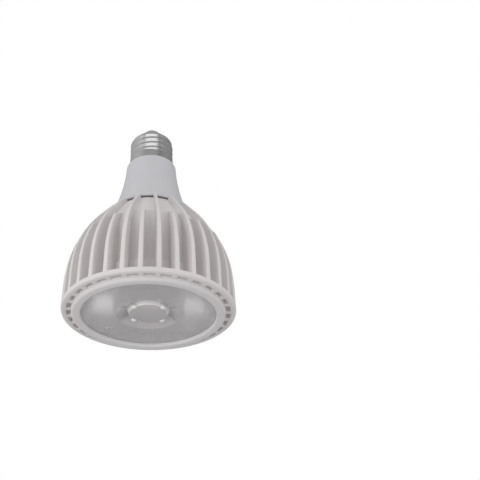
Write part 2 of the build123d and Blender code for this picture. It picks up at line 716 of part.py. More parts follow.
def can(radius, height, x, z):
    """Electrolytic capacitor: a sleeved can with a rolled groove near its foot."""
    groove_z = height / 6
    body = turned(
        (0, 0),
        (radius, 0, radius / 8),
        (radius, groove_z - CAN_GROOVE),
        (radius - CAN_GROOVE, groove_z),
        (radius, groove_z + CAN_GROOVE),
        (radius, height, radius / 8),
        (0, height),
    )
    return Pos(x, BOARD_FACE_Y + radius + PART_GAP, z) * body


def bulk_capacitor():
    """Mains capacitor."""
    return can(BULK_R, BULK_H, BULK_X, FLOOR_Z + BULK_UP)


def output_capacitor():
    """Capacitor across the light source."""
    return can(OUTPUT_R, OUTPUT_H, OUTPUT_X, FLOOR_Z + OUTPUT_UP)


def package(size, x, y, z):
    """Moulded component body with softened edges, centred in width, its foot at y and z."""
    width, depth, height = size
    body = block((x - width / 2, x + width / 2), (y, y + depth), (z, z + height))
    return chamfer(body.edges().filter_by(Axis.Y), depth / 8)


def film_capacitor():
    """Boxed film capacitor."""
    return package(FILM_SIZE, FILM_X, BOARD_FACE_Y, FLOOR_Z + FILM_UP)


def bridge_rectifier():
    """Moulded rectifier."""
    return package(BRIDGE_SIZE, BRIDGE_X, BOARD_FACE_Y, FLOOR_Z + BRIDGE_UP)


def driver_chip():
    """Control chip on the back of the board."""
    return package(CHIP_SIZE, 0, BOARD_BACK_Y - CHIP_SIZE[1], FLOOR_Z + CHIP_UP)


def input_choke():
    """Drum core with its winding."""
    body = turned(
        (0, 0),
        (CHOKE_R, 0),
        (CHOKE_R, CHOKE_FLANGE_T),
        (CHOKE_WAIST_R, CHOKE_FLANGE_T),
        (CHOKE_WAIST_R, CHOKE_H - CHOKE_FLANGE_T),
        (CHOKE_R, CHOKE_H - CHOKE_FLANGE_T),
        (CHOKE_R, CHOKE_H),
        (0, CHOKE_H),
    )
    return Pos(CHOKE_X, BOARD_FACE_Y + CHOKE_R + PART_GAP, FLOOR_Z + CHOKE_UP) * body


def fuse_resistor():
    """Fusible resistor with bulged ends."""
    waist_r = FUSE_R * 0.85
    end_h = FUSE_H / 4
    body = turned(
        (0, 0),
        (FUSE_R, 0, FUSE_R / 2),
        (FUSE_R, end_h, FUSE_R / 4),
        (waist_r, end_h + FUSE_R - waist_r),
        (waist_r, FUSE_H - end_h - FUSE_R + waist_r),
        (FUSE_R, FUSE_H - end_h, FUSE_R / 4),
        (FUSE_R, FUSE_H, FUSE_R / 2),
        (0, FUSE_H),
    )
    return Pos(FUSE_X, BOARD_FACE_Y + FUSE_R + PART_GAP, FLOOR_Z + FUSE_UP) * body


def led_lead(x):
    """Wire from the board, down through the seat, into the side of the light source's holder."""
    start_z = FLOOR_Z + LED_LEAD_UP
    end_z = (HOLDER_FRONT_Z + SEAT_Z) / 2
    return lead(
        LED_LEAD_BEND_R,
        (x, BOARD_FACE_Y, start_z),
        (x, LED_LEAD_Y, start_z),
        (x, LED_LEAD_Y, end_z),
        (x, HOLDER_HALF_W, end_z),
    )


def led_lead_positive():
    """Lead to the positive terminal."""
    return led_lead(LED_LEAD_X)


def led_lead_negative():
    """Lead to the negative terminal."""
    return led_lead(-LED_LEAD_X)


def live_lead():
    """Wire from the board to the contact's stem."""
    y = BOARD_FACE_Y + LEAD_R + PART_GAP
    return lead(
        CAP_LEAD_BEND_R,
        (LIVE_X, y, BOARD_TOP_Z - CAP_LEAD_DOWN),
        (LIVE_X, y, BOARD_TOP_Z + CAP_LEAD_RISE),
        (0, 0, CAP_FOOT_Z + SPIGOT_H / 3),
        (0, 0, STEM_FOOT_Z),
    )


def neutral_lead():
    """Wire from the board over the spigot's edge to the inside of the shell."""
    y = BOARD_FACE_Y + LEAD_R + PART_GAP
    over_z = (CAP_FOOT_Z + SPIGOT_H + STEM_FOOT_Z) / 2
    end_x = -math.sqrt((SHELL_BORE_R - NEUTRAL_GAP) ** 2 - (abs(y) + LEAD_R) ** 2)
    return lead(
        NEUTRAL_BEND_R,
        (NEUTRAL_X, y, BOARD_TOP_Z - CAP_LEAD_DOWN),
        (NEUTRAL_X, y, BOARD_TOP_Z + CAP_LEAD_RISE),
        (NEUTRAL_OUT_X, y, CAP_FOOT_Z + SPIGOT_H / 2),
        (NEUTRAL_OUT_X, y, over_z),
        (end_x, y, over_z),
    )


PIECES = [
    heat_sink,
    driver_housing,
    screw_shell,
    cap_insulator,
    centre_contact,
    lens_ring,
    lens,
    cob_holder,
    phosphor_layer,
    cob_board,
    thermal_pad,
    holder_screws,
    housing_screws,
    driver_board,
    transformer_core,
    transformer_coil,
    bulk_capacitor,
    output_capacitor,
    film_capacitor,
    input_choke,
    bridge_rectifier,
    fuse_resistor,
    driver_chip,
    led_lead_positive,
    led_lead_negative,
    live_lead,
    neutral_lead,
]

os.makedirs("parts", exist_ok=True)
for piece in PIECES:
    export_step(piece(), f"parts/{piece.__name__}.step")
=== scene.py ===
import math

import bmesh
import bpy
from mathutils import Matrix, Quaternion, Vector


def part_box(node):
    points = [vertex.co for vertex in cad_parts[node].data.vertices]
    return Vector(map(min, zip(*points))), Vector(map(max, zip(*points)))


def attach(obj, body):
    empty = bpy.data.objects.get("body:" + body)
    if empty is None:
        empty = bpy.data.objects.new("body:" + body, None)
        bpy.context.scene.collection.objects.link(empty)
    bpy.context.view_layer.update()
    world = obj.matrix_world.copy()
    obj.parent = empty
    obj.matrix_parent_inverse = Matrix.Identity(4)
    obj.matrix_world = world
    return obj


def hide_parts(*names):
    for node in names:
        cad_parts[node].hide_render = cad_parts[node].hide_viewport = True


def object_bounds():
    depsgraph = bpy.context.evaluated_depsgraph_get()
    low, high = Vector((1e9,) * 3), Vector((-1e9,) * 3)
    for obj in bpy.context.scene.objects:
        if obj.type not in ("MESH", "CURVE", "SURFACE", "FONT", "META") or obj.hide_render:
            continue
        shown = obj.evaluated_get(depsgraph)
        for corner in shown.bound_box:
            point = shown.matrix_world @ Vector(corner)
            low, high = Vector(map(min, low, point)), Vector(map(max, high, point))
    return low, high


# LED reflector lamp, in the order it is put together: heat sink, light source, lens, driver and screw cap.
# Metres. The lamp stands on its lens ring, its axis is Z and the cap is up.
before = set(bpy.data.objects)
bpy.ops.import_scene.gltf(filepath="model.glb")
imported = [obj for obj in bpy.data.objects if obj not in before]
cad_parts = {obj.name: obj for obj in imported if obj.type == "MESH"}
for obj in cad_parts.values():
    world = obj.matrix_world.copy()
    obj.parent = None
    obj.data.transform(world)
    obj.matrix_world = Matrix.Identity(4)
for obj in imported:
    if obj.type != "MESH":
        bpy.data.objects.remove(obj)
cad_low, cad_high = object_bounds()


# Heat sink
# One die casting in white powder coat: an open cup for the lens, a hollow bell behind it and thirty-two
# fins, long and short by turns. A rim ties their feet together and leaves an air slot in every gap.
MM = 0.001
WELD_DIST = 0.001 * MM
MATCH_DIST = 0.01 * MM
NEAR_DIST = 0.1 * MM
sink_low, sink_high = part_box("heat_sink")
MOUTH_Z = sink_low.z
FIN_HEAD_Z = sink_high.z
RIM_R = 47.5 * MM
RIM_W = 3.0 * MM
RIM_TOP_Z = MOUTH_Z + 2.5 * MM
RIM_ROUNDING = 0.9 * MM
RIM_CUTS = 3
RIM_ROWS = 2
MOUTH_R = 42.0 * MM
MOUTH_BORE_R = 39.6 * MM
MOUTH_TOP_Z = 6.5 * MM
MOUTH_BACK_Z = 5.0 * MM
CUP_R = 39.2 * MM
CUP_BORE_R = 36.8 * MM
CUP_BACK_Z = 11.6 * MM
LEDGE_Z = 14.0 * MM
SEAT_Z = 27.5 * MM
SEAT_TOP_Z = 32.5 * MM
BELL_FOOT_R = 37.5 * MM
BELL_TOP_R = 21.6 * MM
BELL_TOP_Z = 64.9 * MM
BELL_WALL = 2.5 * MM
BELL_DRAFT = math.radians(1.5)
BELL_LEAN = math.radians(35)
BELL_SHOULDER_R = 32.0 * MM
COLLAR_BORE_R = 17.0 * MM
COLLAR_Z = BELL_TOP_Z - 5.0 * MM
FIN_COUNT = 32
FIN_FOOT_T = 2.6 * MM
FIN_HEAD_T = 1.5 * MM
FIN_HEAD_R = 24.5 * MM
FIN_DRAFT = math.radians(1.2)
FIN_LEAN = math.radians(39.2)
FIN_SHOULDER_R = 65.0 * MM
FIN_STEP_Z = 9.0 * MM
FIN_ROWS = 10
SHORT_FIN_Z = 55.7 * MM
SHORT_FIN_LEAN = math.radians(57.5)
SHORT_FIN_ROWS = 5
SHORT_FIN_TAPER = (0.85, 0.65, 0.4)
CROWN_ROWS = 3
GAP_COLUMNS = 2
CAST_EDGE = 0.35 * MM
CAST_EDGE_SHARE = 0.3
PAINT_WHITE = (0.725, 0.70, 0.695, 1)
PAINT_WARM = (0.695, 0.667, 0.66, 1)


def unevenness():
    """Node group for the small faults of a surface: drifting tone, patchy gloss and a fine grain."""
    group = bpy.data.node_groups.new("surface_unevenness", "ShaderNodeTree")
    inputs = {
        "Colour": "NodeSocketColor",
        "Drift Colour": "NodeSocketColor",
        "Drift Scale": "NodeSocketFloat",
        "Grain Scale": "NodeSocketFloat",
        "Stretch": "NodeSocketVector",
        "Roughness": "NodeSocketFloat",
        "Roughness Spread": "NodeSocketFloat",
    }
    outputs = {"Colour": "NodeSocketColor", "Roughness": "NodeSocketFloat", "Height": "NodeSocketFloat"}
    for name, kind in inputs.items():
        group.interface.new_socket(name, in_out="INPUT", socket_type=kind)
    for name, kind in outputs.items():
        group.interface.new_socket(name, in_out="OUTPUT", socket_type=kind)
    given = group.nodes.new("NodeGroupInput")
    result = group.nodes.new("NodeGroupOutput")
    place = group.nodes.new("ShaderNodeTexCoord")
    stretched = group.nodes.new("ShaderNodeVectorMath")
    stretched.operation = "MULTIPLY"
    drift = group.nodes.new("ShaderNodeTexNoise")
    drift.inputs["Detail"].default_value = 3
    grain = group.nodes.new("ShaderNodeTexNoise")
    grain.inputs["Detail"].default_value = 2
    tone = group.nodes.new("ShaderNodeMix")
    tone.data_type = "RGBA"
    contrast = group.nodes.new("ShaderNodeMapRange")
    contrast.inputs["From Min"].default_value = 0.3
    contrast.inputs["From Max"].default_value = 0.7
    centred = group.nodes.new("ShaderNodeMath")
    centred.operation = "SUBTRACT"
    centred.inputs[1].default_value = 0.5
    gloss = group.nodes.new("ShaderNodeMath")
    gloss.operation = "MULTIPLY_ADD"
    group.links.new(place.outputs["Object"], stretched.inputs[0])
    group.links.new(given.outputs["Stretch"], stretched.inputs[1])
    group.links.new(stretched.outputs["Vector"], drift.inputs["Vector"])
    group.links.new(stretched.outputs["Vector"], grain.inputs["Vector"])
    group.links.new(given.outputs["Drift Scale"], drift.inputs["Scale"])
    group.links.new(given.outputs["Grain Scale"], grain.inputs["Scale"])
    group.links.new(drift.outputs["Fac"], contrast.inputs["Value"])
    group.links.new(contrast.outputs["Result"], tone.inputs["Factor"])
    group.links.new(given.outputs["Colour"], tone.inputs["A"])
    group.links.new(given.outputs["Drift Colour"], tone.inputs["B"])
    group.links.new(grain.outputs["Fac"], centred.inputs[0])
    group.links.new(centred.outputs["Value"], gloss.inputs[0])
    group.links.new(given.outputs["Roughness Spread"], gloss.inputs[1])
    group.links.new(given.outputs["Roughness"], gloss.inputs[2])
    group.links.new(tone.outputs["Result"], result.inputs["Colour"])
    group.links.new(gloss.outputs["Value"], result.inputs["Roughness"])
    group.links.new(grain.outputs["Fac"], result.inputs["Height"])
    return group


surface_unevenness = unevenness()


def surface(name, colours, drift, grain, gloss, relief, stretch=(1, 1, 1), **shader_values):
    """Material with uneven tone and gloss. Drift and grain are sizes of its marks, relief their depth."""
    material = bpy.data.materials.new(name)
    material.use_nodes = True
    nodes, links = material.node_tree.nodes, material.node_tree.links
    shader = nodes["Principled BSDF"]
    uneven = nodes.new("ShaderNodeGroup")
    uneven.node_tree = surface_unevenness
    uneven.inputs["Colour"].default_value = colours[0]
    uneven.inputs["Drift Colour"].default_value = colours[1]
    uneven.inputs["Drift Scale"].default_value = 1 / drift
    uneven.inputs["Grain Scale"].default_value = 1 / grain
    uneven.inputs["Stretch"].default_value = stretch
    uneven.inputs["Roughness"].default_value = gloss[0]
    uneven.inputs["Roughness Spread"].default_value = gloss[1]
    bump = nodes.new("ShaderNodeBump")
    bump.inputs["Distance"].default_value = relief
    links.new(uneven.outputs["Colour"], shader.inputs["Base Color"])
    links.new(uneven.outputs["Roughness"], shader.inputs["Roughness"])
    links.new(uneven.outputs["Height"], bump.inputs["Height"])
    links.new(bump.outputs["Normal"], shader.inputs["Normal"])
    for socket, value in shader_values.items():
        shader.inputs[socket.replace("_", " ")].default_value = value
    return material


def spin_round(bm, geom, steps):
    """Sweep a profile once round the Z axis."""
    bmesh.ops.spin(
        bm,
        geom=geom,
        cent=(0, 0, 0),
        axis=(0, 0, 1),
        angle=2 * math.pi,
        steps=steps,
        use_merge=True,
    )


def turned(bm, corners, steps):
    """Closed skin of revolution through (radius, height) corners, listed as a loop or from axis to axis."""
    verts = [bm.verts.new((r, 0, z)) for r, z in corners]
    pairs = list(zip(verts, verts[1:]))
    if corners[0][0] > 0:
        pairs.append((verts[-1], verts[0]))
    edges = [bm.edges.new(pair) for pair in pairs]
    spin_round(bm, verts + edges, steps)
    bmesh.ops.remove_doubles(bm, verts=bm.verts, dist=WELD_DIST)
    bmesh.ops.recalc_face_normals(bm, faces=bm.faces)


def soften(bm, edges, width, steps=2):
    """Round edges off, as the mould or the coat leaves them."""
    bmesh.ops.bevel(
        bm,
        geom=edges,
        offset=width,
        offset_type="OFFSET",
        segments=steps,
        profile=0.5,
        affect="EDGES",
        clamp_overlap=True,
        material=-1,
    )


def sharp_edges(bm, degrees):
    """Edges whose faces meet at more than an angle."""
    limit = math.radians(degrees)
    return [edge for edge in bm.edges if edge.is_manifold and edge.calc_face_angle() > limit]


def piece_of(bm, name, *materials, crease=40):
    """Object at the origin, smooth except along creases sharper than an angle."""
    mesh = bpy.data.meshes.new(name)
    bm.to_mesh(mesh)
    bm.free()
    mesh.shade_smooth()
    mesh.set_sharp_from_angle(angle=math.radians(crease))
    for material in materials:
        mesh.materials.append(material)
    piece = bpy.data.objects.new(name, mesh)
    bpy.context.scene.collection.objects.link(piece)
    even = piece.modifiers.new("even_normals", "WEIGHTED_NORMAL")
    even.keep_sharp = True
    return piece


def between(start, end, share):
    """Point part of the way from one (radius, height) to another."""
    return tuple(a + (b - a) * share for a, b in zip(start, end))


def shoulder_centre(foot, head, leans, radius):
    """Centre of the arc that rounds the corner of a steep side through foot and a slope through head."""
    (low_cos, low_sin), (high_cos, high_sin) = [(math.cos(lean), math.sin(lean)) for lean in leans]
    low = foot[0] * low_cos + foot[1] * low_sin - radius
    high = head[0] * high_cos + head[1] * high_sin - radius
    spread = math.sin(leans[1] - leans[0])
    return (low * high_sin - high * low_sin) / spread, (high * low_cos - low * high_cos) / spread


def arc(centre, radius, first, last, count):
    """Points of an arc, each where its normal leans by an angle from level."""
    leans = [first + (last - first) * i / (count - 1) for i in range(count)]
    return [(centre[0] + radius * math.cos(lean), centre[1] + radius * math.sin(lean)) for lean in leans]


def cut_lean(centre, radius):
    """Lean of an arc where the sloping top of the short fins meets it."""
    across = math.cos(SHORT_FIN_LEAN) * (BELL_TOP_R - centre[0])
    up = math.sin(SHORT_FIN_LEAN) * (SHORT_FIN_Z - centre[1])
    return SHORT_FIN_LEAN - math.acos((across + up) / radius)


bell_foot = (BELL_FOOT_R, LEDGE_Z)
bell_top = (BELL_TOP_R, BELL_TOP_Z)
bell_centre = shoulder_centre(bell_foot, bell_top, (BELL_DRAFT, BELL_LEAN), BELL_SHOULDER_R)
bell_cut = cut_lean(bell_centre, BELL_SHOULDER_R)
bell_side = arc(bell_centre, BELL_SHOULDER_R, BELL_DRAFT, bell_cut, SHORT_FIN_ROWS)
bell_crown = arc(bell_centre, BELL_SHOULDER_R, bell_cut, BELL_LEAN, CROWN_ROWS)[1:]
cast_skin = [
    (MOUTH_R, MOUTH_Z),
    (MOUTH_R, RIM_TOP_Z),
    (MOUTH_R, RIM_TOP_Z + RIM_ROUNDING),
    (MOUTH_R, MOUTH_TOP_Z),
    (CUP_R, MOUTH_TOP_Z),
    (CUP_R, LEDGE_Z),
    bell_foot,
    between(bell_foot, bell_side[0], 0.5),
    *bell_side,
    *bell_crown,
    between(bell_crown[-1], bell_top, 1 / 3),
    between(bell_crown[-1], bell_top, 2 / 3),
    bell_top,
]
short_fin_tip = cast_skin.index(bell_side[-1])


def fin_edge(is_long):
    """Outer edge of a fin from its foot upwards, one (radius, height) for each row of the skin."""
    corner, head = (RIM_R, MOUTH_Z), (FIN_HEAD_R, FIN_HEAD_Z)
    centre = shoulder_centre(corner, head, (FIN_DRAFT, FIN_LEAN), FIN_SHOULDER_R)
    levels = (RIM_TOP_Z + RIM_ROUNDING, MOUTH_TOP_Z, FIN_STEP_Z, LEDGE_Z)
    foot = [corner, (RIM_R, RIM_TOP_Z)]
    foot += [(RIM_R - (z - MOUTH_Z) * math.tan(FIN_DRAFT), z) for z in levels]
    if is_long:
        edge = arc(centre, FIN_SHOULDER_R, FIN_DRAFT, FIN_LEAN, FIN_ROWS)
        return foot + edge + [head, (BELL_TOP_R, FIN_HEAD_Z)]
    edge = arc(centre, FIN_SHOULDER_R, FIN_DRAFT, cut_lean(centre, FIN_SHOULDER_R), SHORT_FIN_ROWS)
    tip = bell_side[-1]
    return foot + edge + [between(edge[-1], tip, 0.5), tip]


fin_edges = (fin_edge(True), fin_edge(False))


def fin_half_t(fin, row, z):
    """Half the thickness of a fin, which thins towards its head. A short fin also tapers to its tip."""
    half = (FIN_FOOT_T + (FIN_HEAD_T - FIN_FOOT_T) * (z - MOUTH_Z) / (FIN_HEAD_Z - MOUTH_Z)) / 2
    back = short_fin_tip - row
    if fin % 2 and 0 <= back < len(SHORT_FIN_TAPER):
        half *= SHORT_FIN_TAPER[-1 - back]
    return half


def casting():
    """Cup and bell turned as one skin, fins drawn out of it, and a rim bridged from fin to fin."""
    bm = bmesh.new()
    bell_bore_r = BELL_FOOT_R - BELL_WALL
    inside = [(0, SEAT_Z), (bell_bore_r, SEAT_Z), (bell_bore_r, CUP_BACK_Z), (CUP_BORE_R, CUP_BACK_Z)]
    inside += [(CUP_BORE_R, MOUTH_BACK_Z), (MOUTH_BORE_R, MOUTH_BACK_Z), (MOUTH_BORE_R, MOUTH_Z)]
    lining = arc(bell_centre, BELL_SHOULDER_R - BELL_WALL, BELL_LEAN, BELL_DRAFT, SHORT_FIN_ROWS)
    collar_r = lining[0][0] - (COLLAR_Z - lining[0][1]) * math.tan(BELL_LEAN)
    behind = [(COLLAR_BORE_R, BELL_TOP_Z), (COLLAR_BORE_R, COLLAR_Z), (collar_r, COLLAR_Z), *lining]
    behind += [(lining[-1][0], SEAT_TOP_Z), (0, SEAT_TOP_Z)]
    columns = 2 + GAP_COLUMNS
    turned(bm, inside + cast_skin + behind, FIN_COUNT * columns)

    row_of = bm.verts.layers.int.new("row")
    column_of = bm.verts.layers.int.new("column")
    level_of = bm.verts.layers.int.new("level")
    pitch = 2 * math.pi / FIN_COUNT
    first_fin = -math.pi / 2 + pitch / 2
    for vert in bm.verts:
        r, z = math.hypot(vert.co.x, vert.co.y), vert.co.z
        rows = [i for i, place in enumerate(cast_skin) if math.dist(place, (r, z)) < MATCH_DIST]
        vert[row_of] = rows[0] if rows else -1
        column = round(math.atan2(vert.co.y, vert.co.x) / (pitch / columns))
        vert[column_of] = column % (FIN_COUNT * columns)
        fin, place = divmod(vert[column_of], columns)
        half = math.asin(fin_half_t(fin, vert[row_of], z) / max(r, COLLAR_BORE_R))
        gap = (pitch - 2 * half) / (GAP_COLUMNS + 1)
        angle = first_fin + fin * pitch - half + (2 * half + gap * (place - 1) if place else 0)
        vert.co = (r * math.cos(angle), r * math.sin(angle), z)

    def is_fin_root(face):
        rows = [vert[row_of] for vert in face.verts]
        places = {vert[column_of] for vert in face.verts}
        fin = min(places) // columns
        own_places = {fin * columns, fin * columns + 1}
        return places == own_places and min(rows) >= 0 and max(rows) < len(fin_edges[fin % 2])

    rim_radii = (RIM_R - RIM_W, RIM_R - RIM_W / 2, RIM_R)
    drawn = [face for face in bm.faces if is_fin_root(face)]
    for level, rim_r in enumerate(rim_radii):
        drawn_edges = {edge for face in drawn for edge in face.edges}
        drawn_out = bmesh.ops.extrude_face_region(bm, geom=[*drawn, *drawn_edges])["geom"]
        drawn = [item for item in drawn_out if isinstance(item, bmesh.types.BMFace)]
        for vert in (item for item in drawn_out if isinstance(item, bmesh.types.BMVert)):
            fin, side = divmod(vert[column_of], columns)
            row = vert[row_of]
            root, edge = cast_skin[row], fin_edges[fin % 2][row]
            height = math.dist(root, edge)
            rounding = min(CAST_EDGE, CAST_EDGE_SHARE * height)
            r, z = between(root, edge, (0.5, 1 - rounding / max(height, CAST_EDGE), 1)[level])
            half = fin_half_t(fin, row, z)
            if row < RIM_ROWS:
                r = rim_r
            elif rim_r == RIM_R:
                half -= rounding
            angle = first_fin + fin * pitch + (2 * side - 1) * math.asin(half / r)
            vert.co = (r * math.cos(angle), r * math.sin(angle), z)
            vert[level_of] = level + 1

    ends = {column: [] for column in range(FIN_COUNT * columns)}
    for face in bm.faces:
        places = {vert[column_of] for vert in face.verts}
        if len(places) == 1 and all(0 <= vert[row_of] < RIM_ROWS and vert[level_of] for vert in face.verts):
            ends[places.pop()].append(face)
    rim_edges = []
    for fin in range(FIN_COUNT):
        loops = []
        for faces in (ends[fin * columns + 1], ends[(fin + 1) % FIN_COUNT * columns]):
            sides = [edge for face in faces for edge in face.edges]
            loops += [edge for edge in sides if sides.count(edge) == 1]
            bmesh.ops.delete(bm, geom=faces, context="FACES")
        rim_edges += bmesh.ops.bridge_loops(bm, edges=loops)["edges"]
    cut = bmesh.ops.subdivide_edges(bm, edges=rim_edges, cuts=RIM_CUTS, use_grid_fill=True)
    for vert in (item for item in cut["geom_inner"] if isinstance(item, bmesh.types.BMVert)):
        r = math.hypot(vert.co.x, vert.co.y)
        grown = min(rim_radii, key=lambda level_r: abs(level_r - r)) / r
        vert.co = (vert.co.x * grown, vert.co.y * grown, vert.co.z)
    bmesh.ops.remove_doubles(bm, verts=bm.verts, dist=2 * WELD_DIST)
    bmesh.ops.recalc_face_normals(bm, faces=bm.faces)

    def on_rim_corner(vert):
        return math.hypot(vert.co.x, vert.co.y) > RIM_R - NEAR_DIST and vert.co.z < MOUTH_Z + NEAR_DIST

    def is_low_corner(edge):
        top = max(vert.co.z for vert in edge.verts)
        return edge.calc_face_angle_signed() > 0 and top < LEDGE_Z + NEAR_DIST

    soften(bm, [edge for edge in bm.edges if all(map(on_rim_corner, edge.verts))], RIM_ROUNDING, steps=3)
    soften(bm, [edge for edge in sharp_edges(bm, degrees=50) if is_low_corner(edge)], CAST_EDGE)
    return bm


powder_coat = surface(
    "powder_coat",
    (PAINT_WHITE, PAINT_WARM),
    drift=14 * MM,
    grain=0.5 * MM,
    gloss=(0.42, 0.12),
    relief=0.012 * MM,
    Specular_IOR_Level=0.45,
)
sink = piece_of(casting(), "finned_casting", powder_coat)
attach(sink, "root")
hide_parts("heat_sink")


# Light source
# A round yellow phosphor layer on a white-masked metal plate, over a grey heat pad. A white plastic bridge
# with two steel screws clamps it to the seat in the bell.
SOURCE_FINISHES = {
    "thermal_pad": ((0.45, 0.46, 0.47, 1), (0.38, 0.39, 0.40, 1), 0.85, 0),
    "cob_board": ((0.82, 0.82, 0.80, 1), (0.74, 0.74, 0.72, 1), 0.4, 0),
    "phosphor_layer": ((0.86, 0.62, 0.12, 1), (0.78, 0.52, 0.08, 1), 0.35, 0),
    "cob_holder": ((0.86, 0.86, 0.85, 1), (0.82, 0.82, 0.81, 1), 0.5, 0),
    "holder_screws": ((0.50, 0.50, 0.50, 1), (0.42, 0.42, 0.42, 1), 0.55, 1),
}


def dress(node, colours, roughness, metallic):
    """Give a carried-over piece a material of its own, with uneven tone and a fine grain."""
    material = surface(
        node + "_finish",
        colours,
        drift=5 * MM,
        grain=0.25 * MM,
        gloss=(roughness, 0.15),
        relief=0.01 * MM,
        Metallic=metallic,
    )
    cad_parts[node].data.materials.clear()
    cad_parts[node].data.materials.append(material)


for node, (colour, drift_colour, roughness, metallic) in SOURCE_FINISHES.items():
    dress(node, (colour, drift_colour), roughness, metallic)


# Lens
# Clear acrylic collimator, moulded in one shot and held by its thin flange: a flat polished front with a
# shallow dish round a hub, a bowed flank with fine flutes that scatter the beam, and a pocket with a domed
# floor over the light source. The side of the hub and four pips on its edge are pale frost, painted
# highlights: a bright band and four glints.
lens_low, lens_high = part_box("lens")
LENS_R = lens_high.x
LENS_FACE_Z = lens_low.z
LENS_BACK_Z = lens_high.z - 0.2 * MM
LENS_EDGE_Z = LENS_FACE_Z + 2.0 * MM
FLANK_R = LENS_R - 1.8 * MM
FLANK_BOW = 0.7 * MM
LENS_BACK_R = 20.0 * MM
HUB_R = 10.2 * MM
HUB_FOOT_R = 11.6 * MM
HUB_TOP_Z = LENS_FACE_Z + 0.4 * MM
HUB_ROUNDING = 0.4 * MM
HUB_ROUNDING_ROWS = 5
DISH_R = 17.5 * MM
DISH_EDGE_W = 0.3 * MM
DISH_FLOOR_Z = LENS_FACE_Z + 2.8 * MM
POCKET_MOUTH_R = 10.4 * MM
POCKET_FLOOR_R = 9.2 * MM
POCKET_FLOOR_Z = LENS_BACK_Z - 10.0 * MM
POCKET_DOME_H = 2.5 * MM
PIP_RING_R = 10.9 * MM
PIP_Z = HUB_TOP_Z + 0.5 * MM
PIP_R = 1.5 * MM
PIP_H = 1.1 * MM
PIP_COUNT = 4
PIP_FIRST = 45
PIP_STEPS = 16
PIP_ROWS = 8
FLUTE_COUNT = 96
FLUTE_STEPS = 6
FLUTE_DEPTH = 0.3 * MM
FLUTE_FADE = 6
FLANK_ROWS = 14
DOME_ROWS = 8
LENS_CLEAR = (0.87, 0.838, 0.849, 1)
LENS_HAZE = (0.84, 0.808, 0.819, 1)
# Tones of the pale frost, which paints highlights: the band on the hub's side and the four glints of the
# pips.
PAINTED_GLINT_PALE = (0.95, 0.95, 0.95, 1)
PAINTED_GLINT_GREY = (0.91, 0.91, 0.91, 1)


def dome(edge_r, edge_z, top_z, rows):
    """Shallow dome as (radius, height) points from its edge to the axis."""
    rise = top_z - edge_z
    ball_r = (edge_r**2 + rise**2) / (2 * rise)
    radii = [edge_r * (1 - i / rows) for i in range(rows + 1)]
    return [(r, top_z - ball_r + math.copysign(math.sqrt(ball_r**2 - r**2), rise)) for r in radii]


def collimator():
    """Turned lens body with flutes drawn into its flank and pale frost on the side of its hub, a painted
    highlight band.
    """
    bm = bmesh.new()
    foot, back = (FLANK_R, LENS_EDGE_Z), (LENS_BACK_R, LENS_BACK_Z)
    slant = math.dist(foot, back)
    out = ((LENS_BACK_Z - LENS_EDGE_Z) / slant, (FLANK_R - LENS_BACK_R) / slant)
    flank = []
    for i in range(1, FLANK_ROWS):
        share = i / FLANK_ROWS
        r, z = between(foot, back, share)
        bow = FLANK_BOW * 4 * share * (1 - share)
        flank.append((r + out[0] * bow, z + out[1] * bow))
    edge_centre = (HUB_R - HUB_ROUNDING, HUB_TOP_Z + HUB_ROUNDING)
    hub = [(0, HUB_TOP_Z), *arc(edge_centre, HUB_ROUNDING, -math.pi / 2, 0, HUB_ROUNDING_ROWS)]
    dish = [(HUB_FOOT_R, DISH_FLOOR_Z), (DISH_R, LENS_FACE_Z), (DISH_R + DISH_EDGE_W, LENS_FACE_Z)]
    front = [*dish, (LENS_R, LENS_FACE_Z), (LENS_R, LENS_EDGE_Z)]
    pocket = dome(POCKET_FLOOR_R, POCKET_FLOOR_Z, POCKET_FLOOR_Z + POCKET_DOME_H, DOME_ROWS)
    profile = [*hub, *front, foot, *flank, back, (POCKET_MOUTH_R, LENS_BACK_Z), *pocket]
    turned(bm, profile, FLUTE_COUNT * FLUTE_STEPS)
    for vert in bm.verts:
        r, z = math.hypot(vert.co.x, vert.co.y), vert.co.z
        if r > LENS_BACK_R + NEAR_DIST and z > LENS_EDGE_Z + NEAR_DIST:
            share = (z - LENS_EDGE_Z) / (LENS_BACK_Z - LENS_EDGE_Z)
            fade = min(1, FLUTE_FADE * share, FLUTE_FADE * (1 - share))
            wave = 0.5 * math.cos(FLUTE_COUNT * math.atan2(vert.co.y, vert.co.x)) - 0.5
            grown = 1 + FLUTE_DEPTH * fade * wave / r
            vert.co = (vert.co.x * grown, vert.co.y * grown, z)

    def on_hub_side(vert):
        place = (math.hypot(vert.co.x, vert.co.y), vert.co.z)
        return min(math.dist(place, corner) for corner in (hub[-1], dish[0])) < MATCH_DIST

    # The hub's side gets the pale frost, a painted highlight band.
    for face in bm.faces:
        if all(map(on_hub_side, face.verts)):
            face.material_index = 1
    return bm


# Pale frost, lit by the lamps into painted highlights on the hub's side and the pips.
painted_glint_frost = surface(
    "painted_glint_frost",
    (PAINTED_GLINT_PALE, PAINTED_GLINT_GREY),
    drift=4 * MM,
    grain=0.2 * MM,
    gloss=(0.5, 0.1),
    relief=0.01 * MM,
    Transmission_Weight=0.2,
    IOR=1.49,
)
clear_acrylic = surface(
    "clear_acrylic",
    (LENS_CLEAR, LENS_HAZE),
    drift=9 * MM,
    grain=2 * MM,
    gloss=(0.07, 0.03),
    relief=0,
    Transmission_Weight=0.65,
    Coat_Weight=1,
    Coat_Roughness=0.06,
    Coat_IOR=1.49,
    IOR=1.49,
)
lens = piece_of(collimator(), "collimating_lens", clear_acrylic, painted_glint_frost, crease=15)
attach(lens, "root")
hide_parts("lens")
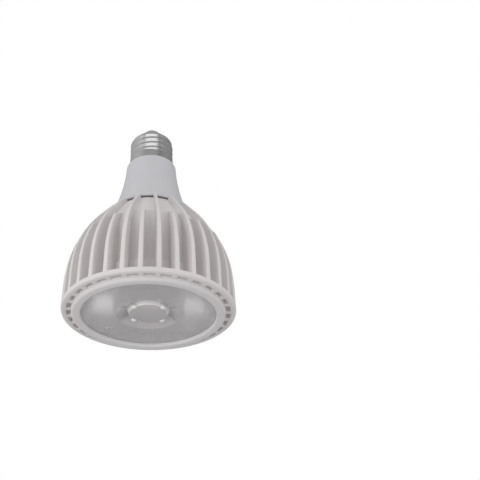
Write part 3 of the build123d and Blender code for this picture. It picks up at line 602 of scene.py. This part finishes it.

# Four pale frost pips on the hub's edge, painted glints.
bm = bmesh.new()
for i in range(PIP_COUNT):
    turn = math.radians(PIP_FIRST + 360 / PIP_COUNT * i)
    pip = bmesh.ops.create_uvsphere(bm, u_segments=PIP_STEPS, v_segments=PIP_ROWS, radius=PIP_R)["verts"]
    bmesh.ops.scale(bm, verts=pip, vec=(1, 1, PIP_H / PIP_R))
    place = (PIP_RING_R * math.cos(turn), PIP_RING_R * math.sin(turn), PIP_Z)
    bmesh.ops.translate(bm, verts=pip, vec=place)
pips = piece_of(bm, "painted_glint_pips", painted_glint_frost)
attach(pips, "root")
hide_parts("lens")


# Lens ring
# Front ring moulded in white plastic: a flat face proud of the rim, a lip over the edge of the lens and a
# skirt whose bead snaps into the bore of the cup.
ring_low, ring_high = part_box("lens_ring")
RING_R = 41.8 * MM
RING_FACE_Z = ring_low.z
RING_SHELF_Z = MOUTH_Z
SKIRT_R = 39.5 * MM
SKIRT_BORE_R = 38.6 * MM
SKIRT_TOP_Z = ring_high.z
WINDOW_R = 37.0 * MM
BEAD_Z = 3.9 * MM
BEAD_H = 0.3 * MM
RING_ROUNDING = 1.5 * MM
RING_LIP_ROUNDING = 0.75 * MM
RING_STEPS = 160
RING_WHITE = (0.68, 0.662, 0.666, 1)
RING_SHADE = (0.655, 0.636, 0.64, 1)


def ring_face_corners(bm):
    """Sharp edges that lie in the face of the ring."""
    limit = RING_FACE_Z + NEAR_DIST
    return [edge for edge in sharp_edges(bm, degrees=60) if max(vert.co.z for vert in edge.verts) < limit]


bm = bmesh.new()
turned(
    bm,
    [
        (WINDOW_R, RING_FACE_Z),
        (RING_R, RING_FACE_Z),
        (RING_R, RING_SHELF_Z),
        (SKIRT_R, RING_SHELF_Z),
        (SKIRT_R, BEAD_Z - BEAD_H),
        (SKIRT_R + BEAD_H, BEAD_Z),
        (SKIRT_R, BEAD_Z + BEAD_H),
        (SKIRT_R, SKIRT_TOP_Z),
        (SKIRT_BORE_R, SKIRT_TOP_Z),
        (SKIRT_BORE_R, LENS_FACE_Z),
        (WINDOW_R, LENS_FACE_Z),
    ],
    RING_STEPS,
)
lip_edges = [edge for edge in ring_face_corners(bm) if math.hypot(*edge.verts[0].co.xy) < SKIRT_R]
soften(bm, lip_edges, RING_LIP_ROUNDING, steps=4)
soften(bm, ring_face_corners(bm), RING_ROUNDING, steps=6)
ring_plastic = surface(
    "ring_plastic",
    (RING_WHITE, RING_SHADE),
    drift=18 * MM,
    grain=0.3 * MM,
    gloss=(0.35, 0.1),
    relief=0.006 * MM,
)
ring = piece_of(bm, "front_ring", ring_plastic)
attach(ring, "root")
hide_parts("lens_ring")


# Driver
# Glass-fibre board that stands in the insulating tube, with its transformer, capacitors, choke, rectifier,
# fuse and chip, the leads to the light source and the cap, and the two screws that hold the housing down.
DRIVER_FINISHES = {
    "housing_screws": ((0.60, 0.60, 0.60, 1), (0.48, 0.48, 0.48, 1), 0.3, 1),
    "driver_board": ((0.04, 0.20, 0.09, 1), (0.03, 0.15, 0.07, 1), 0.35, 0),
    "transformer_core": ((0.10, 0.10, 0.10, 1), (0.07, 0.07, 0.07, 1), 0.7, 0),
    "transformer_coil": ((0.82, 0.62, 0.10, 1), (0.74, 0.52, 0.07, 1), 0.3, 0),
    "bulk_capacitor": ((0.05, 0.05, 0.06, 1), (0.03, 0.03, 0.04, 1), 0.3, 0),
    "output_capacitor": ((0.05, 0.05, 0.06, 1), (0.03, 0.03, 0.04, 1), 0.3, 0),
    "film_capacitor": ((0.72, 0.50, 0.08, 1), (0.64, 0.42, 0.06, 1), 0.35, 0),
    "input_choke": ((0.11, 0.10, 0.10, 1), (0.08, 0.07, 0.07, 1), 0.65, 0),
    "bridge_rectifier": ((0.04, 0.04, 0.04, 1), (0.03, 0.03, 0.03, 1), 0.55, 0),
    "fuse_resistor": ((0.32, 0.46, 0.38, 1), (0.26, 0.40, 0.32, 1), 0.5, 0),
    "driver_chip": ((0.04, 0.04, 0.04, 1), (0.03, 0.03, 0.03, 1), 0.55, 0),
    "led_lead_positive": ((0.58, 0.05, 0.04, 1), (0.50, 0.04, 0.03, 1), 0.5, 0),
    "led_lead_negative": ((0.04, 0.04, 0.04, 1), (0.03, 0.03, 0.03, 1), 0.5, 0),
    "live_lead": ((0.28, 0.14, 0.07, 1), (0.23, 0.11, 0.05, 1), 0.5, 0),
    "neutral_lead": ((0.06, 0.15, 0.48, 1), (0.05, 0.12, 0.40, 1), 0.5, 0),
}
for node, (colour, drift_colour, roughness, metallic) in DRIVER_FINISHES.items():
    dress(node, (colour, drift_colour), roughness, metallic)


# Driver housing
# One moulding in smooth white plastic: a flared neck whose foot sits on the long fins, a rounded shoulder
# under the cap, a spigot inside the cap and an insulating tube that reaches down into the bell.
NECK_FOOT_Z = FIN_HEAD_Z
NECK_FOOT_R = 22.3 * MM
NECK_TOP_R = 15.0 * MM
NECK_TOP_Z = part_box("screw_shell")[0].z
NECK_SHOULDER = 1.7 * MM
NECK_SHOULDER_ROWS = 6
FLARE_R = 117.0 * MM
FLARE_ROWS = 16
NECK_SKIRT_WALL = 1.6 * MM
NECK_HOLLOW_Z = 85.0 * MM
TUBE_R = 16.7 * MM
TUBE_BORE_R = 15.3 * MM
TUBE_FLOOR_Z = SEAT_TOP_Z + 1.5 * MM
SKIRT_INNER_R = 17.5 * MM
BORE_END_Z = NECK_TOP_Z - 5.0 * MM
BORE_TAPER_Z = BORE_END_Z - 21.0 * MM
BORE_END_R = 13.2 * MM
SPIGOT_R = 11.6 * MM
SPIGOT_BORE_R = 10.2 * MM
SPIGOT_TOP_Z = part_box("driver_housing")[1].z
NECK_EDGE = 0.3 * MM
NECK_STEPS = 128
NECK_WHITE = (0.585, 0.580, 0.602, 1)
NECK_COOL = (0.555, 0.550, 0.577, 1)


def flare(inset, low_z, high_z):
    """Concave flare of the neck between two heights, as (radius, height) points from the foot up."""
    end_z = NECK_TOP_Z - NECK_SHOULDER
    run, rise = NECK_FOOT_R - NECK_TOP_R, end_z - NECK_FOOT_Z
    chord = math.hypot(run, rise)
    reach = math.sqrt(FLARE_R**2 - chord**2 / 4) / chord
    centre_r = (NECK_FOOT_R + NECK_TOP_R) / 2 + reach * rise
    centre_z = (NECK_FOOT_Z + end_z) / 2 + reach * run
    levels = [low_z + (high_z - low_z) * i / FLARE_ROWS for i in range(FLARE_ROWS + 1)]
    return [(centre_r - math.sqrt((FLARE_R + inset) ** 2 - (z - centre_z) ** 2), z) for z in levels]


outside = flare(0, NECK_FOOT_Z, NECK_TOP_Z - NECK_SHOULDER)
hollow = flare(NECK_SKIRT_WALL, NECK_FOOT_Z, NECK_HOLLOW_Z)
under_skirt = [(r, z) for r, z in hollow if r > SKIRT_INNER_R]
shoulder = []
for i in range(1, NECK_SHOULDER_ROWS + 1):
    turn = math.radians(90 * i / NECK_SHOULDER_ROWS)
    shoulder_r = NECK_TOP_R - NECK_SHOULDER * (1 - math.cos(turn))
    shoulder.append((shoulder_r, NECK_TOP_Z - NECK_SHOULDER * (1 - math.sin(turn))))
bm = bmesh.new()
turned(
    bm,
    [
        (0, SEAT_TOP_Z),
        (TUBE_R, SEAT_TOP_Z),
        (TUBE_R, under_skirt[-1][1]),
        *reversed(under_skirt),
        *outside,
        *shoulder,
        (SPIGOT_R, NECK_TOP_Z),
        (SPIGOT_R, SPIGOT_TOP_Z),
        (SPIGOT_BORE_R, SPIGOT_TOP_Z),
        (SPIGOT_BORE_R, BORE_END_Z + BORE_END_R - SPIGOT_BORE_R),
        (BORE_END_R, BORE_END_Z),
        (TUBE_BORE_R, BORE_TAPER_Z),
        (TUBE_BORE_R, TUBE_FLOOR_Z),
        (0, TUBE_FLOOR_Z),
    ],
    NECK_STEPS,
)
soften(bm, sharp_edges(bm, degrees=50), NECK_EDGE)
neck_plastic = surface(
    "neck_plastic",
    (NECK_WHITE, NECK_COOL),
    drift=25 * MM,
    grain=0.25 * MM,
    gloss=(0.4, 0.08),
    relief=0.004 * MM,
)
neck = piece_of(bm, "flared_neck", neck_plastic)
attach(neck, "root")
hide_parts("driver_housing")


# Screw shell
# Edison screw cap pressed from thin sheet and nickel plated: a plain band on the neck, a rolled round
# thread that runs out at both ends, and a top edge turned in over the insulator.
shell_low, shell_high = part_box("screw_shell")
BAND_R = 13.2 * MM
BAND_TOP_Z = shell_low.z + 6.0 * MM
SHELL_FOOT_Z = shell_low.z
SHELL_TOP_Z = shell_high.z
THREAD_CREST_R = 13.1 * MM
THREAD_ROOT_R = 12.13 * MM
THREAD_PITCH = 3.629 * MM
THREAD_FIRST_Z = SHELL_FOOT_Z + 4.1 * MM
SHELL_T = 0.3 * MM
SHELL_TURN_Z = SHELL_TOP_Z - 2.0 * MM
SHELL_TOP_R = 10.3 * MM
SHELL_HOLE_R = 9.6 * MM
SHELL_ROWS = 96
SHELL_STEPS = 128
NICKEL = (0.82, 0.818, 0.815, 1)
NICKEL_DULL = (0.74, 0.738, 0.735, 1)


def eased(value):
    """Smooth step from 0 to 1."""
    share = min(max(value, 0), 1)
    return share * share * (3 - 2 * share)


def rolled_shell():
    """Turned sheet without thickness, rolled to a helix between the plain band and the turned-in top."""
    bm = bmesh.new()
    levels = [SHELL_FOOT_Z + (SHELL_TURN_Z - SHELL_FOOT_Z) * i / SHELL_ROWS for i in range(SHELL_ROWS + 1)]
    verts = [bm.verts.new((THREAD_ROOT_R, 0, z)) for z in levels]
    verts.append(bm.verts.new((SHELL_TOP_R, 0, SHELL_TOP_Z)))
    verts.append(bm.verts.new((SHELL_HOLE_R, 0, SHELL_TOP_Z)))
    edges = [bm.edges.new(pair) for pair in zip(verts, verts[1:])]
    spin_round(bm, verts + edges, SHELL_STEPS)
    middle, swing = (THREAD_CREST_R + THREAD_ROOT_R) / 2, (THREAD_CREST_R - THREAD_ROOT_R) / 2
    for vert in bm.verts:
        z = vert.co.z
        if z > SHELL_TURN_Z + MATCH_DIST:
            continue
        turn = (z - THREAD_FIRST_Z) / THREAD_PITCH - math.atan2(vert.co.y, vert.co.x) / (2 * math.pi)
        thread = middle + swing * math.cos(2 * math.pi * turn)
        run_out = eased((SHELL_TURN_Z - z) / (THREAD_PITCH / 2))
        thread = THREAD_ROOT_R + (thread - THREAD_ROOT_R) * run_out
        rise = eased((z - BAND_TOP_Z + THREAD_PITCH / 4) / (THREAD_PITCH / 4))
        r = BAND_R + (thread - BAND_R) * rise
        grown = r / math.hypot(vert.co.x, vert.co.y)
        vert.co = (vert.co.x * grown, vert.co.y * grown, z)
    bmesh.ops.remove_doubles(bm, verts=bm.verts, dist=WELD_DIST)
    bmesh.ops.recalc_face_normals(bm, faces=bm.faces)
    return bm


nickel_plate = surface(
    "nickel_plate",
    (NICKEL, NICKEL_DULL),
    drift=3 * MM,
    grain=1.5 * MM,
    gloss=(0.26, 0.08),
    relief=0.004 * MM,
    stretch=(1, 1, 12),
    Metallic=1,
)
shell = piece_of(rolled_shell(), "screw_cap_shell", nickel_plate)
sheet = shell.modifiers.new("sheet", "SOLIDIFY")
sheet.thickness = SHELL_T
sheet.offset = -1
shell.modifiers.move(1, 0)
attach(shell, "root")
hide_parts("screw_shell")


# Insulator and centre contact
# A grey moulded cone fills the top of the cap, and a domed metal button on a stem sits in its tip.
cone_low, cone_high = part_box("cap_insulator")
tip_low, tip_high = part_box("centre_contact")
CONE_FOOT_R = 10.1 * MM
CONE_TIP_R = 5.4 * MM
CONE_FLANGE_R = 11.6 * MM
CONE_TURN_Z = cone_low.z + 0.9 * MM
CONE_NECK_R = 9.4 * MM
CONE_UNDER_R = CONE_NECK_R + 0.4 * MM
CONE_UNDER_Z = SHELL_TOP_Z - 0.42 * MM
CONE_EDGE = 0.15 * MM
STEM_R = 1.55 * MM
STEM_HOLE_R = 1.6 * MM
TIP_R = 4.8 * MM
TIP_EDGE_Z = cone_high.z + 0.9 * MM
TIP_EDGE = 0.2 * MM
TIP_ROWS = 6
CONE_STEPS = 96
INSULATOR_GREY = (0.40, 0.40, 0.395, 1)
INSULATOR_DARK = (0.33, 0.33, 0.325, 1)
CONTACT_METAL = (0.58, 0.57, 0.55, 1)
CONTACT_DULL = (0.44, 0.43, 0.41, 1)

bm = bmesh.new()
turned(
    bm,
    [
        (STEM_HOLE_R, cone_low.z),
        (CONE_FLANGE_R, cone_low.z),
        (CONE_FLANGE_R, CONE_TURN_Z),
        (CONE_UNDER_R, CONE_UNDER_Z),
        (CONE_NECK_R, CONE_UNDER_Z),
        (CONE_NECK_R, SHELL_TOP_Z),
        (CONE_FOOT_R, SHELL_TOP_Z),
        (CONE_TIP_R, cone_high.z),
        (STEM_HOLE_R, cone_high.z),
    ],
    CONE_STEPS,
)
soften(bm, sharp_edges(bm, degrees=30), CONE_EDGE)
insulator_body = surface(
    "insulator_body",
    (INSULATOR_GREY, INSULATOR_DARK),
    drift=4 * MM,
    grain=0.4 * MM,
    gloss=(0.35, 0.15),
    relief=0.01 * MM,
)
insulator = piece_of(bm, "tip_insulator", insulator_body)
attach(insulator, "root")
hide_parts("cap_insulator")

bm = bmesh.new()
turned(
    bm,
    [
        (0, tip_low.z),
        (STEM_R, tip_low.z),
        (STEM_R, cone_high.z),
        (TIP_R, cone_high.z),
        *dome(TIP_R, TIP_EDGE_Z, tip_high.z, TIP_ROWS),
    ],
    CONE_STEPS,
)
soften(bm, sharp_edges(bm, degrees=50), TIP_EDGE)
contact_metal = surface(
    "contact_metal",
    (CONTACT_METAL, CONTACT_DULL),
    drift=2 * MM,
    grain=0.3 * MM,
    gloss=(0.35, 0.2),
    relief=0.01 * MM,
    Metallic=1,
)
contact = piece_of(bm, "tip_contact", contact_metal)
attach(contact, "root")
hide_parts("centre_contact")


# Floor
# Pale sheet that the lamp stands on. It is seen from above only, so that a view from below looks through
# it, and it sends no light back, so that the front of the lamp is lit as in the air.
FLOOR_HALF = 3.0
FLOOR_DROP = 0.2 * MM
FLOOR_PALE = (0.86, 0.86, 0.87, 1)
FLOOR_GREY = (0.84, 0.84, 0.85, 1)

bm = bmesh.new()
bmesh.ops.create_grid(bm, x_segments=1, y_segments=1, size=FLOOR_HALF)
bmesh.ops.translate(bm, verts=bm.verts, vec=(0, 0, cad_low.z - FLOOR_DROP))
floor_sheet = surface(
    "floor_sheet",
    (FLOOR_PALE, FLOOR_GREY),
    drift=400 * MM,
    grain=2 * MM,
    gloss=(0.9, 0.05),
    relief=0.01 * MM,
    Specular_IOR_Level=0.1,
)
nodes, links = floor_sheet.node_tree.nodes, floor_sheet.node_tree.links
geometry = nodes.new("ShaderNodeNewGeometry")
clear = nodes.new("ShaderNodeBsdfTransparent")
sides = nodes.new("ShaderNodeMixShader")
links.new(geometry.outputs["Backfacing"], sides.inputs["Fac"])
links.new(nodes["Principled BSDF"].outputs["BSDF"], sides.inputs[1])
links.new(clear.outputs["BSDF"], sides.inputs[2])
links.new(sides.outputs["Shader"], nodes["Material Output"].inputs["Surface"])
floor = piece_of(bm, "floor", floor_sheet)
floor.visible_diffuse = False
floor.visible_glossy = False
floor.visible_transmission = False
floor.visible_shadow = False


# Cards
# Boards round the lamp and above it, dimmer than the white room. Only metal and gloss see them. They leave
# it open low in front, so that each turn of the plated cap shades from white below to grey at its crest.
CARD_HALF = 1.2
CARD_DRIFT = 0.95
CARDS = {
    "left_card": ((-0.58, 0.25, 0.30), (1, 0, 0), 0.72),
    "right_card": ((0.60, 0.25, 0.30), (-1, 0, 0), 0.40),
    "top_card": ((0, 0.30, 1.10), (0, 0, -1), 0.60),
    "back_card": ((0, 1.20, 0.30), (0, -1, 0), 0.80),
    "front_card": ((0, -0.95, 1.52), (0, 1, 0), 0.66),
}

for name, (place, facing, tone) in CARDS.items():
    shade = tone * CARD_DRIFT
    card_board = surface(
        name + "_board",
        ((tone, tone, tone, 1), (shade, shade, shade, 1)),
        drift=300 * MM,
        grain=3 * MM,
        gloss=(0.9, 0.05),
        relief=0.01 * MM,
        Specular_IOR_Level=0.1,
    )
    bm = bmesh.new()
    bmesh.ops.create_grid(bm, x_segments=1, y_segments=1, size=CARD_HALF)
    bmesh.ops.rotate(bm, verts=bm.verts, matrix=Vector(facing).to_track_quat("Z", "Y").to_matrix())
    bmesh.ops.translate(bm, verts=bm.verts, vec=place)
    card = piece_of(bm, name, card_board)
    card.visible_camera = False
    card.visible_diffuse = False
    card.visible_transmission = False
    card.visible_shadow = False


# Studio light
# A white room at an even level. Soft lamps stand low in front and at both sides, the left ones stronger,
# and one hangs overhead. Two small lamps low behind are there for their reflections in the lens.
ROOM_LEVEL = 0.46
SOFT_LAMPS = {
    "left_lamp": ((-0.48, -0.63, -0.20), 0.30, 1.8),
    "right_lamp": ((0.48, -0.63, -0.16), 0.30, 1.3),
    "left_side": ((-0.85, -0.05, -0.20), 0.30, 2.3),
    "right_side": ((0.85, -0.05, -0.18), 0.30, 1.3),
    "top_lamp": ((0.0, -0.28, 0.80), 0.30, 1.6),
}
GLINT_LAMPS = {
    "left_wash": ((-0.070, 0.700, -0.368), (0.030, 0.026), 0.0026),
    "right_wash": ((0.076, 0.700, -0.366), (0.028, 0.024), 0.0018),
}
LAMP_AIM = Vector((0, 0, 0.05))

world = bpy.data.worlds.new("white_room")
bpy.context.scene.world = world
world.use_nodes = True
nodes, links = world.node_tree.nodes, world.node_tree.links
room = nodes["Background"]
room.inputs["Color"].default_value = (1, 1, 1, 1)
rays = nodes.new("ShaderNodeLightPath")
seen = nodes.new("ShaderNodeMath")
seen.operation = "MAXIMUM"
seen_in_metal = nodes.new("ShaderNodeMath")
seen_in_metal.operation = "MAXIMUM"
level = nodes.new("ShaderNodeMapRange")
level.inputs["To Min"].default_value = ROOM_LEVEL
level.inputs["To Max"].default_value = 1
links.new(rays.outputs["Is Glossy Ray"], seen_in_metal.inputs[0])
links.new(rays.outputs["Is Transmission Ray"], seen_in_metal.inputs[1])
links.new(rays.outputs["Is Camera Ray"], seen.inputs[0])
links.new(seen_in_metal.outputs["Value"], seen.inputs[1])
links.new(seen.outputs["Value"], level.inputs["Value"])
links.new(level.outputs["Result"], room.inputs["Strength"])


def hang(name, place, size, power):
    """Area lamp that faces the object."""
    lamp = bpy.data.lights.new(name, "AREA")
    lamp.shape = "RECTANGLE"
    lamp.size, lamp.size_y = size
    lamp.energy = power
    stand = bpy.data.objects.new(name, lamp)
    stand.location = place
    stand.rotation_mode = "QUATERNION"
    stand.rotation_quaternion = (LAMP_AIM - Vector(place)).to_track_quat("-Z", "Y")
    bpy.context.scene.collection.objects.link(stand)
    return stand


for name, (place, size, power) in SOFT_LAMPS.items():
    hang(name, place, (size, size), power).visible_glossy = False
for name, (place, size, power) in GLINT_LAMPS.items():
    hang(name, place, size, power).visible_diffuse = False


# Camera
# In front of the lamp and below it, looking up with a slight roll, the lamp at the left of the picture.
CAMERA_PLACE = Vector((-1.69, -359.1, -178.7)) * MM
CAMERA_AIM = Vector((0, 0, 50)) * MM
CAMERA_ROLL = math.radians(1.2)
CAMERA_LENS = 55.31
CAMERA_SHIFT_X = 0.1879
CAMERA_CLIP_START = 10 * MM

eye = bpy.data.cameras.new("camera")
eye.lens = CAMERA_LENS
eye.shift_x = CAMERA_SHIFT_X
eye.clip_start = CAMERA_CLIP_START
camera = bpy.data.objects.new("camera", eye)
camera.location = CAMERA_PLACE
camera.rotation_mode = "QUATERNION"
level_turn = (CAMERA_AIM - CAMERA_PLACE).to_track_quat("-Z", "Y")
camera.rotation_quaternion = level_turn @ Quaternion((0, 0, 1), CAMERA_ROLL)
bpy.context.scene.collection.objects.link(camera)
bpy.context.scene.camera = camera
bpy.context.scene.view_settings.view_transform = "Standard"
